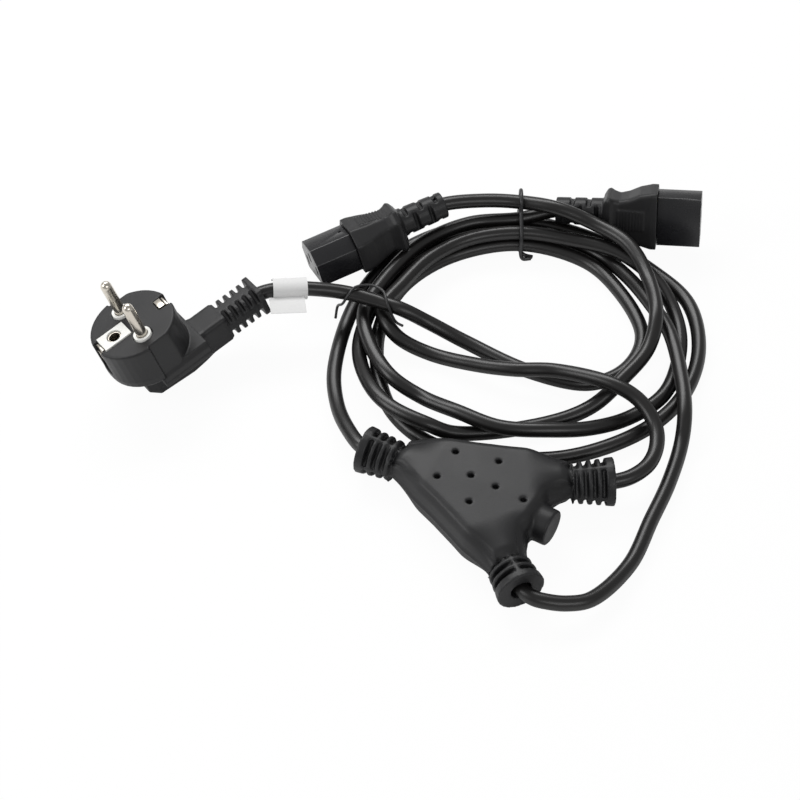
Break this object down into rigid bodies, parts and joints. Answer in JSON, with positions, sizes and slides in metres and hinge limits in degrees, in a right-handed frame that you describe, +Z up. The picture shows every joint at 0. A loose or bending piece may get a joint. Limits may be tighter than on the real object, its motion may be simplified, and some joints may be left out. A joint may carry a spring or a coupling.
{
  "type": "power cord splitter",
  "caption": "Mains Y cord: angled earthed plug with finger guard, moulded triangular splitter and two appliance connectors on round cords coiled and tied.",
  "frame": {"origin": "under the middle of the box round the plug, the splitter and the two connectors, on the surface that they lie on", "axes": "+Z up; +X from the plug toward the right-hand connector; +Y from the splitter toward the two connectors"},
  "size_m": [0.2678, 0.227, 0.058],
  "materials": {
    "black_pvc": "moulded soft plastic, fine matte texture",
    "hard_black": "smooth hard plastic, semi gloss",
    "cord_black": "smooth glossy cord sheath",
    "white_plastic": "smooth white plastic",
    "nickel": "nickel plated, lightly brushed",
    "brass": "bare brass",
    "label_white": "plain white label"
  },
  "bodies": {
    "root": {"plug_body": "black_pvc", "splitter_body": "black_pvc", "left_connector_grip": "black_pvc", "right_connector_grip": "black_pvc", "left_connector_nose": "hard_black", "right_connector_nose": "hard_black", "splitter_core": "hard_black", "supply_cord": "cord_black", "right_cord": "cord_black", "left_cord": "cord_black", "bundle_tie": "hard_black", "plug_tie": "hard_black", "plug_insert": "white_plastic", "cord_label": "label_white", "plug_pin_near": "nickel", "plug_pin_far": "nickel", "plug_earth_socket": "nickel", "plug_earth_strip_outer": "nickel", "plug_earth_strip_inner": "nickel", "plug_earth_tab": "nickel", "splice_line": "brass", "splice_earth": "brass", "splice_neutral": "brass", "left_contact_line": "brass", "left_contact_earth": "brass", "left_contact_neutral": "brass", "right_contact_line": "brass", "right_contact_earth": "brass", "right_contact_neutral": "brass"}
  },
  "joints": []
}
